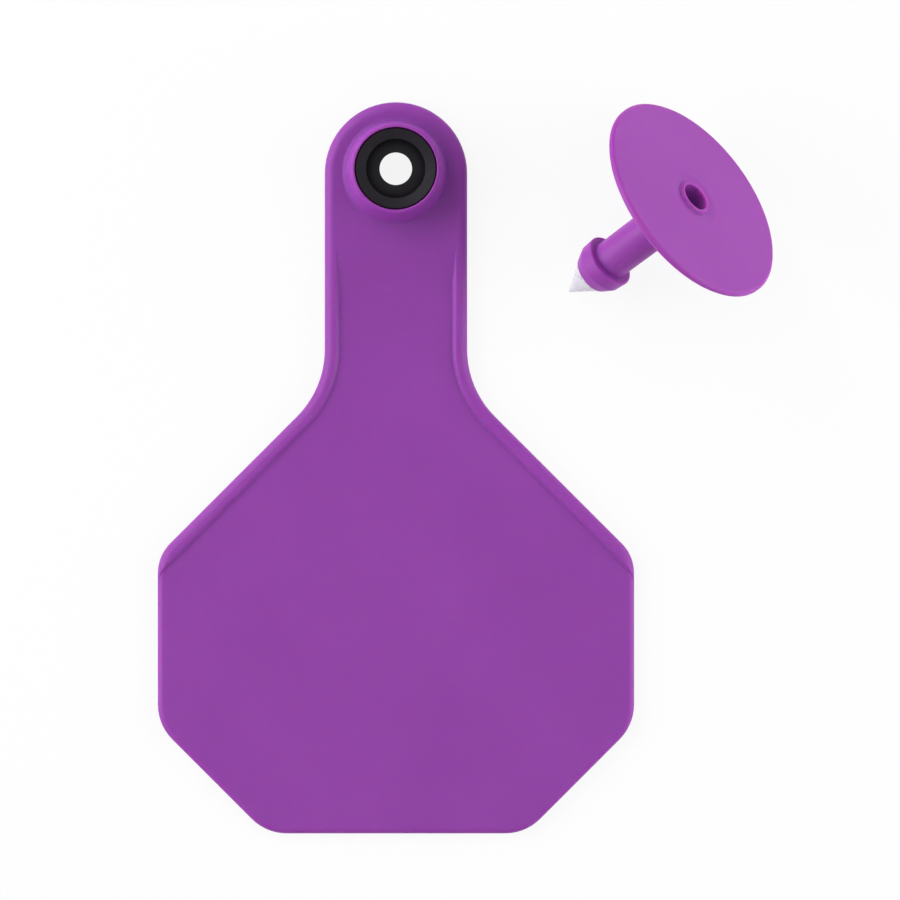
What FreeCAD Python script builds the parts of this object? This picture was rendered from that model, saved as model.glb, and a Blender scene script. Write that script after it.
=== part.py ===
"""Two-piece livestock ear tag, parted as it comes out of the bag.

The tag panel lies face up on z = 0. Its neck carries a socket boss with a hard
collar pressed into it. The stud button lies beside the neck, resting on its rim
and on its point. To fit the tag, the stud is pushed through the ear and up the
collar's bore from the back, until its barb snaps past the collar's lip.

Millimetres. The origin is on the collar's axis at the panel's back face, +X runs
across the panel, +Y towards the head and +Z out of the written face.
"""
import FreeCAD, Part
import math
import os

Vector = FreeCAD.Vector

tolerance = 0.001           # for finding an edge by its place

# ---- pin bore in the stud: the applicator's pin pushes the point through the ear ----
pin_bore_radius = 1.85
pin_lip_height = 0.34
pin_lip_wall = 0.26         # at the lip's top
pin_lip_spread = 0.3        # how much wider the lip is at its foot
pin_lip_chamfer = 0.12      # eases the pin's way in
dimple_width = 1.3          # shallow dimple in the disc round the lip's foot
dimple_depth = 0.14

# ---- stud button: lengths run along its axis from the disc's outer face ----
disc_diameter = 28.0
disc_thickness = 1.0
disc_edge_chamfer = 0.3
root_flare = 0.9            # how far the stem flares out where it meets the disc
root_flare_length = 1.5
stem_wall = 0.67            # at the barb, where the stem is thinnest
stem_taper = 0.12           # how much wider the stem is at the disc
barb_start = 15.2
barb_step = 0.98            # how far the barb's flat back stands out from the stem
barb_edge_chamfer = 0.14
barrel_length = 1.8
barrel_taper = 0.13
nose_length = 1.5
nose_rim = 0.12             # ring of the nose's end left round the point

# ---- hard point moulded into the stud ----
point_radius = 2.5
point_height = 4.3
point_tip_radius = 0.1      # the tip is blunted so that it doesn't break off
shank_radius = 1.3
shank_length = 3.6
shank_bead = 0.3            # the bead that keeps the shank in the barb
bead_length = 0.8

# ---- collar in the panel's socket: it takes the stem and holds the barb ----
stem_clearance = 0.16
lip_grip = 0.47             # how much smaller than the stem the springy lip is
lip_land = 0.3
lip_rise = 0.25
seat_clearance = 0.1
seat_taper = 0.15           # how far the barb's seat opens towards the top
seat_depth = 1.7
collar_ring = 1.45          # width of the collar's top ring
collar_dish = 0.35          # fall of the top ring from the outside in
collar_sink = 0.12          # the collar's edge stands this far below the boss's lip
collar_chamfer = 0.2
rib_height = 0.9
rib_proud = 0.28            # the rib that locks the collar into the boss
rib_above_floor = 1.5
fit_clearance = 0.02        # round pressed and moulded-in pieces

# ---- socket boss on the panel's head ----
socket_floor = 1.0          # skin left under the collar
boss_height = 4.0           # above the neck
boss_wall = 0.4             # at the boss's lip
boss_draft = 0.85           # how much wider the boss is at its foot
boss_foot_shift = 0.35      # the foot spreads this much further towards the panel
boss_foot_fillet = 0.5
boss_lip_chamfer = 0.16
boss_offset = 0.5           # the socket stands this far above the head's centre

# ---- tag panel: outline, from the head's centre down ----
head_margin = 2.55          # from the boss's foot to the edge of the head
shoulder_drop = 27.2        # where the shoulder's line would cross the neck's side
panel_width = 60.2
side_length = 21.4          # between the corners, before they are rounded
lower_cut = 13.7            # the 45 degree cut across each bottom corner
neck_fillet = 12.0
shoulder_fillet = 5.3
lower_fillet = 6.3          # where the side turns into the lower cut
bottom_fillet = 6.2

# ---- tag panel: thickness, edges, and the raised border of neck and shoulders ----
panel_thickness = 1.4
border_rise = 0.4           # the neck and its border stand this far above the panel
border_width = 1.65         # to the middle of its inner step
border_slope = 0.4          # how far the step leans inwards over its own height
field_start = 9.6           # where the sunk field begins, below the head's centre
field_ramp = 4.5            # the length over which the field sinks to the panel's level
face_edge_round = 0.75      # of the panel; the thicker neck's is larger by its rise
back_edge_chamfer = 0.25
wall_share = 0.9            # two opposite edges' rounds take no more than this share of a wall

# ---- where the stud lies: its point stands beside the neck ----
stud_gap = 12.9             # from the neck's side to the point
stud_drop = 15.4            # from the collar's axis down to the point
stud_heading = 216.6        # degrees from +X, the way the point faces


# ---- worked out: stud ----
disc_radius = disc_diameter / 2
rim_chamfer = min(disc_edge_chamfer, disc_thickness * wall_share / 2)
stem_end_radius = pin_bore_radius + stem_wall
stem_root_radius = stem_end_radius + stem_taper
barb_radius = stem_end_radius + barb_step
barrel_end = barb_start + barrel_length
barrel_end_radius = barb_radius - barrel_taper
nose_end = barrel_end + nose_length
nose_radius = point_radius + nose_rim
point_end = nose_end + point_height
shank_start = nose_end - shank_length

# ---- worked out: collar and socket ----
neck_thickness = panel_thickness + border_rise
boss_top = neck_thickness + boss_height
stem_bore_radius = stem_root_radius + stem_clearance
lip_radius = stem_end_radius - lip_grip
seat_radius = barb_radius + seat_clearance
collar_radius = seat_radius + seat_taper + collar_ring
collar_top = boss_top - collar_sink
seat_top = collar_top - collar_dish
seat_bottom = seat_top - seat_depth
lip_top = seat_bottom + lip_rise
lip_bottom = lip_top - lip_land
lead_in = stem_bore_radius - lip_radius
boss_top_radius = collar_radius + boss_wall
boss_foot_radius = boss_top_radius + boss_draft

# ---- worked out: panel ----
half_neck = boss_foot_radius + head_margin
half_panel = panel_width / 2
head_y = -boss_offset
half_turn = math.radians(22.5)      # half of the 45 degree turn at each shoulder
shoulder_bottom = shoulder_drop + half_panel - half_neck
panel_bottom = shoulder_bottom + side_length + lower_cut


def rounded_chain(corners):
    """Edges through a chain of (x, y, radius) corners; a corner of radius 0 stays sharp."""
    edges = []
    here = Vector(corners[0][0], corners[0][1], 0)
    for index in range(1, len(corners) - 1):
        x, y, radius = corners[index]
        corner = Vector(x, y, 0)
        if radius == 0:
            edges.append(Part.LineSegment(here, corner).toShape())
            here = corner
            continue
        following = Vector(corners[index + 1][0], corners[index + 1][1], 0)
        back = (here - corner).normalize()
        ahead = (following - corner).normalize()
        half_angle = back.getAngle(ahead) / 2
        reach = radius / math.tan(half_angle)
        start = corner + back * reach
        end = corner + ahead * reach
        towards_centre = (back + ahead).normalize()
        middle = corner + towards_centre * (radius / math.sin(half_angle) - radius)
        edges.append(Part.LineSegment(here, start).toShape())
        edges.append(Part.Arc(start, middle, end).toShape())
        here = end
    last = Vector(corners[-1][0], corners[-1][1], 0)
    edges.append(Part.LineSegment(here, last).toShape())
    return edges


def mirrored_chain(half):
    """The right half's corners from the top down, then the left half's from the bottom up."""
    return half + [(-x, y, radius) for x, y, radius in reversed(half)]


def panel_face():
    """The panel's outline: round head, neck, 45 degree shoulders, sides and lower cuts."""
    half = [
        (half_neck, head_y, 0),
        (half_neck, head_y - shoulder_drop, neck_fillet),
        (half_panel, head_y - shoulder_bottom, shoulder_fillet),
        (half_panel, head_y - panel_bottom + lower_cut, lower_fillet),
        (half_panel - lower_cut, head_y - panel_bottom, bottom_fillet),
    ]
    edges = rounded_chain(mirrored_chain(half))
    crown = Part.Arc(Vector(-half_neck, head_y, 0), Vector(0, head_y + half_neck, 0),
                     Vector(half_neck, head_y, 0))
    return Part.Face(Part.Wire(edges + [crown.toShape()]))


def edges_at_height(solid, height):
    """Edges that lie wholly in the plane z = height."""
    return [edge for edge in solid.Edges
            if abs(edge.BoundBox.ZMin - height) < tolerance and abs(edge.BoundBox.ZMax - height) < tolerance]


def edged_slab(thickness, edge_round):
    """The panel's outline at one thickness, its face edge rounded and its back edge chamfered."""
    fit = min(1, thickness * wall_share / (edge_round + back_edge_chamfer))
    slab = panel_face().extrude(Vector(0, 0, thickness))
    slab = slab.makeFillet(edge_round * fit, edges_at_height(slab, thickness))
    return slab.makeChamfer(back_edge_chamfer * fit, edges_at_height(slab, 0))


def field_outline(inset, height):
    """The sunk field's outline, inset from the neck and shoulders and open past the sides."""
    beyond = half_panel + border_width + neck_fillet
    inner_neck = half_neck - inset
    corner_drop = shoulder_drop + inset * math.tan(half_turn)
    half = [
        (inner_neck, head_y, 0),
        (inner_neck, head_y - corner_drop, neck_fillet + inset),
        (beyond, head_y - corner_drop - (beyond - inner_neck), 0),
        (beyond, head_y - panel_bottom - beyond, 0),
    ]
    edges = rounded_chain(mirrored_chain(half))
    edges.append(Part.LineSegment(Vector(-inner_neck, head_y, 0), Vector(inner_neck, head_y, 0)).toShape())
    wire = Part.Wire(edges)
    wire.translate(Vector(0, 0, height))
    return wire


def field_cutter():
    """What the sunk field takes out of the thick neck: leaning sides and a sloped start."""
    lean = border_slope / border_rise
    middle = panel_thickness + border_rise / 2
    low = -border_rise
    high = neck_thickness + border_rise
    low_outline = field_outline(border_width + lean * (middle - low), low)
    high_outline = field_outline(border_width - lean * (high - middle), high)
    leaning = Part.makeLoft([low_outline, high_outline], True, True)
    start = head_y - field_start
    floor = start - field_ramp
    beyond = head_y - 2 * panel_bottom
    ramp_profile = [
        Vector(0, start + field_ramp, high),
        Vector(0, floor, panel_thickness),
        Vector(0, floor, 2 * low),
        Vector(0, beyond, 2 * low),
        Vector(0, beyond, high),
    ]
    ramp = Part.Face(Part.makePolygon(ramp_profile + ramp_profile[:1]))
    ramp.translate(Vector(-panel_width, 0, 0))
    return leaning.common(ramp.extrude(Vector(2 * panel_width, 0, 0)))


def circle_wire(radius, y, height):
    return Part.Wire(Part.Circle(Vector(0, y, height), Vector(0, 0, 1), radius).toShape())


def revolved(profile):
    """Turn a closed (radius, height) profile about the Z axis."""
    points = [Vector(radius, 0, height) for radius, height in profile]
    return Part.Face(Part.makePolygon(points + points[:1])).revolve(Vector(0, 0, 0), Vector(0, 0, 1), 360)


def collar_profile(gap):
    """The collar's outside, from its foot to its top edge, grown by a gap for its socket."""
    outer = collar_radius + gap
    rib_outer = outer + rib_proud
    rib_start = socket_floor + rib_above_floor
    rib_top = rib_start + rib_height
    return [
        (outer, socket_floor),
        (outer, rib_start - rib_proud),
        (rib_outer, rib_start),
        (rib_outer, rib_top),
        (outer, rib_top + rib_proud),
    ]


def socket_cutter():
    """The collar's socket and the stem's way in through the panel's skin."""
    outer = collar_radius + fit_clearance
    mouth = boss_top + collar_chamfer
    socket = revolved([(0, socket_floor)] + collar_profile(fit_clearance) + [(outer, mouth), (0, mouth)])
    entry = Part.makeCylinder(stem_bore_radius, 2 * socket_floor, Vector(0, 0, -socket_floor / 2))
    return socket.fuse(entry)


def make_tag_panel():
    """The soft moulding: panel, sunk field inside its border, head and socket boss."""
    plate = edged_slab(panel_thickness, face_edge_round)
    thick = edged_slab(neck_thickness, face_edge_round + border_rise).cut(field_cutter())
    boss = Part.makeLoft([circle_wire(boss_foot_radius, -boss_foot_shift, neck_thickness),
                          circle_wire(boss_top_radius, 0, boss_top)], True, True)
    boss = boss.makeChamfer(boss_lip_chamfer, edges_at_height(boss, boss_top))
    solid = plate.fuse([thick, boss]).removeSplitter()
    foot = [edge for edge in edges_at_height(solid, neck_thickness)
            if abs(edge.BoundBox.XMax - boss_foot_radius) < tolerance]
    solid = solid.makeFillet(boss_foot_fillet, foot)
    return solid.cut(socket_cutter())


def make_collar_insert():
    """The hard ring: stem bore, springy lip, and the seat that the barb snaps into."""
    top_edge = collar_radius - collar_chamfer
    inside = [
        (collar_radius, collar_top - collar_chamfer),
        (top_edge, collar_top),
        (seat_radius + seat_taper, seat_top),
        (seat_radius, seat_bottom),
        (lip_radius, lip_top),
        (lip_radius, lip_bottom),
        (stem_bore_radius, lip_bottom - lead_in),
        (stem_bore_radius, socket_floor),
    ]
    return revolved(collar_profile(0) + inside)


def shank_profile(gap):
    """The point's shank from its inner end to the nose's face, with its locking bead."""
    radius = shank_radius + gap
    bead_radius = radius + shank_bead
    bead_start = shank_start + (shank_length - bead_length) / 2
    bead_end = bead_start + bead_length
    return [
        (0, shank_start),
        (radius, shank_start),
        (radius, bead_start - shank_bead),
        (bead_radius, bead_start),
        (bead_radius, bead_end),
        (radius, bead_end + shank_bead),
        (radius, nose_end),
    ]


def make_stud_button():
    """Disc, hollow stem and barb, turned about the stud's axis."""
    lip_mouth = pin_bore_radius + pin_lip_chamfer
    lip_top_radius = pin_bore_radius + pin_lip_wall
    lip_foot_radius = lip_top_radius + pin_lip_spread
    outline = [
        (pin_bore_radius, shank_start),
        (pin_bore_radius, pin_lip_chamfer - pin_lip_height),
        (lip_mouth, -pin_lip_height),
        (lip_top_radius, -pin_lip_height),
        (lip_foot_radius, dimple_depth),
        (lip_foot_radius + dimple_width, 0),
        (disc_radius - rim_chamfer, 0),
        (disc_radius, rim_chamfer),
        (disc_radius, disc_thickness - rim_chamfer),
        (disc_radius - rim_chamfer, disc_thickness),
        (stem_root_radius + root_flare, disc_thickness),
        (stem_root_radius, disc_thickness + root_flare_length),
        (stem_end_radius, barb_start),
        (barb_radius - barb_edge_chamfer, barb_start),
        (barb_radius, barb_start + barb_edge_chamfer),
        (barrel_end_radius, barrel_end),
        (nose_radius, nose_end),
        (0, nose_end),
        (0, shank_start),
    ]
    socket = revolved(shank_profile(fit_clearance) + [(0, nose_end)])
    return revolved(outline).cut(socket)


def make_stud_point():
    """The hard cone with its shank."""
    return revolved(shank_profile(0) + [
        (point_radius, nose_end),
        (point_tip_radius, point_end),
        (0, point_end),
    ])


def resting_line():
    """Lean of the stud's axis below level at rest, and the corner of the rim that it rests on.

    The stud rests on two corners of its outline, here as (length along the axis, radius):
    one of the disc's rim and one further on, with every other corner above their line.
    """
    rim_corners = [
        (rim_chamfer, disc_radius),
        (disc_thickness - rim_chamfer, disc_radius),
        (disc_thickness, disc_radius - rim_chamfer),
    ]
    far_corners = [
        (barb_start + barb_edge_chamfer, barb_radius),
        (barrel_end, barrel_end_radius),
        (nose_end, nose_radius),
        (point_end, point_tip_radius),
    ]
    lines = []
    for rim_corner in rim_corners:
        drops = [math.atan2(rim_corner[1] - radius, along - rim_corner[0]) for along, radius in far_corners]
        lines.append((min(drops), rim_corner))
    return max(lines)


def stud_placement():
    """Lay the stud down: rim and point on z = 0, the point beside the neck."""
    lean, (rim_along, rim_radius) = resting_line()
    heading = math.radians(stud_heading)
    axis = Vector(math.cos(lean) * math.cos(heading), math.cos(lean) * math.sin(heading), -math.sin(lean))
    height = rim_along * math.sin(lean) + rim_radius * math.cos(lean)
    reach = point_end * math.cos(lean)
    centre = Vector(half_neck + stud_gap - reach * math.cos(heading),
                    -stud_drop - reach * math.sin(heading), height)
    return FreeCAD.Placement(centre, FreeCAD.Rotation(Vector(0, 0, 1), axis))


def laid_down(solid):
    placed = solid.copy()
    placed.Placement = stud_placement()
    return placed


def main():
    parts = {
        "tag_panel": make_tag_panel(),
        "collar_insert": make_collar_insert(),
        "stud_button": laid_down(make_stud_button()),
        "stud_point": laid_down(make_stud_point()),
    }
    os.makedirs("parts", exist_ok=True)
    for name, shape in parts.items():
        shape.exportStep("parts/" + name + ".step")


main()
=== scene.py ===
"""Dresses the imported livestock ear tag: purple soft plastic, black collar, white point, on a pale floor."""
import math

import bpy
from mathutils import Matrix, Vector

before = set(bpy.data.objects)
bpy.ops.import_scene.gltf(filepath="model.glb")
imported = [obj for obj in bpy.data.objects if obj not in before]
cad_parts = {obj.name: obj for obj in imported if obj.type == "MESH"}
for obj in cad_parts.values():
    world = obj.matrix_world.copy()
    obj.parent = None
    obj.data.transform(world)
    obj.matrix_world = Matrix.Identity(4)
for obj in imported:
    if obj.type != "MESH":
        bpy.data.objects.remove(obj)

bpy.context.view_layer.update()

MM = 0.001
WHITE = (1.0, 1.0, 1.0, 1.0)

# ---- camera: straight above, far off, so that the view is nearly parallel ----
VIEW_CENTRE = Vector((6.83, -35.45, 0)) * MM
VIEW_WIDTH = 113.8 * MM
CAMERA_HEIGHT = 1200 * MM
SENSOR_WIDTH = 36.0

# ---- light: an even room, with soft lamps on the left, the upper left and the right ----
ROOM_LEVEL = 0.58
LAMP_SIZE = 0.35
LAMPS = {
    "left_lamp": (Vector((-0.55, 0.05, 0.25)), 2.0),
    "upper_left_lamp": (Vector((-0.40, 0.45, 0.35)), 1.5),
    "right_lamp": (Vector((0.55, 0.0, 0.20)), 1.9),
}

# ---- floor ----
FLOOR_SIZE = 6.0
FLOOR_DROP = 0.02 * MM      # just under the object's underside
FLOOR_PALE = (0.86, 0.86, 0.86, 1.0)
FLOOR_GLOW = 0.88           # how much of the floor is plain white to the eye; the rest shades

# ---- where a noise's blend of two colours starts and ends ----
BLEND_START = 0.3
BLEND_END = 0.7

# ---- colours, linear: each plastic's lighter and deeper mix ----
PURPLE = (0.300, 0.0546, 0.395, 1.0)
PURPLE_DEEP = (0.283, 0.0485, 0.375, 1.0)
# the stud's purple is the panel's purple made lighter: painted light, standing in for the brighter light on
# the stud
STUD_LIT_PURPLE = (0.331, 0.0594, 0.412, 1.0)
STUD_LIT_PURPLE_DEEP = (0.312, 0.0528, 0.391, 1.0)
BLACK = (0.0030, 0.0016, 0.0050, 1.0)
BLACK_WORN = (0.0065, 0.0040, 0.0095, 1.0)
NYLON = (0.84, 0.81, 0.88, 1.0)
NYLON_SHADE = (0.74, 0.71, 0.79, 1.0)


class Shader:
    """A material's node tree, built in object coordinates."""

    def __init__(self, name):
        self.material = bpy.data.materials.new(name)
        self.material.use_nodes = True
        self.tree = self.material.node_tree
        self.surface = self.tree.nodes["Principled BSDF"]
        self.place = self.tree.nodes.new("ShaderNodeTexCoord").outputs["Object"]

    def set(self, **values):
        """Constants on the surface's own sockets; an underscore stands for a space."""
        for name, value in values.items():
            self.surface.inputs[name.replace("_", " ")].default_value = value

    def noise(self, blotch, detail=2.0):
        """Noise whose blotches are about this many metres across."""
        node = self.tree.nodes.new("ShaderNodeTexNoise")
        node.inputs["Scale"].default_value = 1.0 / blotch
        node.inputs["Detail"].default_value = detail
        self.tree.links.new(self.place, node.inputs["Vector"])
        return node.outputs["Fac"]

    def ramp(self, factor, low, high):
        """Blend of two colours, driven by a factor."""
        node = self.tree.nodes.new("ShaderNodeValToRGB")
        node.color_ramp.elements[0].position = BLEND_START
        node.color_ramp.elements[0].color = low
        node.color_ramp.elements[1].position = BLEND_END
        node.color_ramp.elements[1].color = high
        self.tree.links.new(factor, node.inputs["Fac"])
        return node.outputs["Color"]

    def spread(self, factor, low, high):
        """A factor of 0 to 1 mapped to low to high."""
        node = self.tree.nodes.new("ShaderNodeMapRange")
        node.inputs["To Min"].default_value = low
        node.inputs["To Max"].default_value = high
        self.tree.links.new(factor, node.inputs["Value"])
        return node.outputs["Result"]

    def soft_edge(self, radius):
        """Normals eased over the moulded edges, as the mould's small radii do."""
        node = self.tree.nodes.new("ShaderNodeBevel")
        node.inputs["Radius"].default_value = radius
        return node.outputs["Normal"]

    def bump(self, factor, height, under=None):
        """Relief of the given height in metres, on top of an earlier bump."""
        node = self.tree.nodes.new("ShaderNodeBump")
        node.inputs["Distance"].default_value = height
        self.tree.links.new(factor, node.inputs["Height"])
        if under is not None:
            self.tree.links.new(under, node.inputs["Normal"])
        return node.outputs["Normal"]

    def use(self, colour=None, roughness=None, normal=None):
        for name, output in (("Base Color", colour), ("Roughness", roughness), ("Normal", normal)):
            if output is not None:
                self.tree.links.new(output, self.surface.inputs[name])


def soft_purple_plastic(name, deep, light):
    """Moulded polyurethane: satin, faintly mottled, with light that seeps into thin edges."""
    shader = Shader(name)
    shader.set(IOR=1.48, Specular_IOR_Level=0.35, Subsurface_Weight=1.0, Subsurface_Scale=1.0 * MM,
               Subsurface_Radius=(1.6, 0.35, 0.9))
    mottle = shader.noise(blotch=14 * MM, detail=3.0)
    grain = shader.noise(blotch=0.35 * MM, detail=3.0)
    waves = shader.noise(blotch=6 * MM, detail=1.0)
    wavy = shader.bump(waves, height=0.03 * MM, under=shader.soft_edge(radius=0.22 * MM))
    shader.use(
        colour=shader.ramp(mottle, deep, light),
        roughness=shader.spread(grain, low=0.44, high=0.56),
        normal=shader.bump(grain, height=0.010 * MM, under=wavy),
    )
    return shader.material


def hard_black_plastic():
    """Glass-filled nylon of the collar: near black, with a fine dry grain."""
    shader = Shader("hard_black_plastic")
    shader.set(IOR=1.5, Specular_IOR_Level=0.35)
    grain = shader.noise(blotch=0.2 * MM, detail=4.0)
    shader.use(
        colour=shader.ramp(shader.noise(blotch=1.5 * MM), BLACK, BLACK_WORN),
        roughness=shader.spread(grain, low=0.30, high=0.48),
        normal=shader.bump(grain, height=0.008 * MM),
    )
    return shader.material


def hard_white_plastic():
    """Unfilled nylon of the point: milky and a little see-through."""
    shader = Shader("hard_white_plastic")
    shader.set(IOR=1.52, Subsurface_Weight=0.5, Subsurface_Scale=1.5 * MM, Subsurface_Radius=(1.0, 0.95, 1.0),
               Transmission_Weight=0.25)
    grain = shader.noise(blotch=0.4 * MM, detail=3.0)
    shader.use(
        colour=shader.ramp(shader.noise(blotch=2 * MM), NYLON_SHADE, NYLON),
        roughness=shader.spread(grain, low=0.22, high=0.36),
        normal=shader.bump(grain, height=0.006 * MM),
    )
    return shader.material


def dress(node, material):
    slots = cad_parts[node].data.materials
    slots.clear()
    slots.append(material)


def dress_nodes():
    dress("tag_panel", soft_purple_plastic("panel_purple_plastic", PURPLE_DEEP, PURPLE))
    # the stud gets the lighter copy of the panel's purple: painted light
    dress("stud_button", soft_purple_plastic("stud_purple_painted_lighter", STUD_LIT_PURPLE_DEEP, STUD_LIT_PURPLE))
    dress("collar_insert", hard_black_plastic())
    dress("stud_point", hard_white_plastic())


def seen_directly(tree):
    """1 for rays from the camera, from a gloss or through the clear point, else 0."""
    path = tree.nodes.new("ShaderNodeLightPath")
    total = path.outputs["Is Camera Ray"]
    for name in ("Is Glossy Ray", "Is Transmission Ray"):
        add = tree.nodes.new("ShaderNodeMath")
        add.operation = "MAXIMUM"
        tree.links.new(total, add.inputs[0])
        tree.links.new(path.outputs[name], add.inputs[1])
        total = add.outputs[0]
    return total


def floor_white():
    """Pale matt that looks white where nothing shades it, and keeps a soft shadow."""
    material = bpy.data.materials.new("floor_white")
    material.use_nodes = True
    tree = material.node_tree
    tree.nodes.remove(tree.nodes["Principled BSDF"])
    diffuse = tree.nodes.new("ShaderNodeBsdfDiffuse")
    diffuse.inputs["Color"].default_value = FLOOR_PALE
    glow = tree.nodes.new("ShaderNodeEmission")
    glow.inputs["Color"].default_value = WHITE
    share = tree.nodes.new("ShaderNodeMath")
    share.operation = "MULTIPLY"
    share.inputs[1].default_value = FLOOR_GLOW
    mix = tree.nodes.new("ShaderNodeMixShader")
    tree.links.new(seen_directly(tree), share.inputs[0])
    tree.links.new(share.outputs[0], mix.inputs["Fac"])
    tree.links.new(diffuse.outputs["BSDF"], mix.inputs[1])
    tree.links.new(glow.outputs["Emission"], mix.inputs[2])
    tree.links.new(mix.outputs["Shader"], tree.nodes["Material Output"].inputs["Surface"])
    return material


def make_floor():
    bpy.ops.mesh.primitive_plane_add(size=FLOOR_SIZE, location=(0, 0, -FLOOR_DROP))
    floor = bpy.context.object
    floor.name = "floor"
    floor.data.materials.append(floor_white())


def make_room():
    """An even pale room: plain light on the object, white where it is seen."""
    world = bpy.data.worlds.new("room")
    bpy.context.scene.world = world
    world.use_nodes = True
    tree = world.node_tree
    background = tree.nodes["Background"]
    background.inputs["Color"].default_value = WHITE
    level = tree.nodes.new("ShaderNodeMapRange")
    level.inputs["To Min"].default_value = ROOM_LEVEL
    path = tree.nodes.new("ShaderNodeLightPath")
    tree.links.new(path.outputs["Is Camera Ray"], level.inputs["Value"])
    tree.links.new(level.outputs["Result"], background.inputs["Strength"])


def make_lamp(name, place, power):
    """A square soft lamp, placed from the middle of the view and facing it."""
    data = bpy.data.lights.new(name, "AREA")
    data.size = LAMP_SIZE
    data.energy = power
    lamp = bpy.data.objects.new(name, data)
    bpy.context.scene.collection.objects.link(lamp)
    lamp.location = VIEW_CENTRE + place
    lamp.rotation_euler = (-place).to_track_quat("-Z", "Y").to_euler()


def make_camera():
    data = bpy.data.cameras.new("camera")
    data.sensor_width = SENSOR_WIDTH
    data.lens = SENSOR_WIDTH * CAMERA_HEIGHT / VIEW_WIDTH
    camera = bpy.data.objects.new("camera", data)
    bpy.context.scene.collection.objects.link(camera)
    camera.location = VIEW_CENTRE + Vector((0, 0, CAMERA_HEIGHT))
    bpy.context.scene.camera = camera


def write_sizes():
    """Brings the scene up to date; no sizes are computed or written."""
    bpy.context.view_layer.update()


bpy.context.scene.view_settings.view_transform = "Standard"
dress_nodes()
make_floor()
make_room()
for name, (place, power) in LAMPS.items():
    make_lamp(name, place, power)
make_camera()
write_sizes()
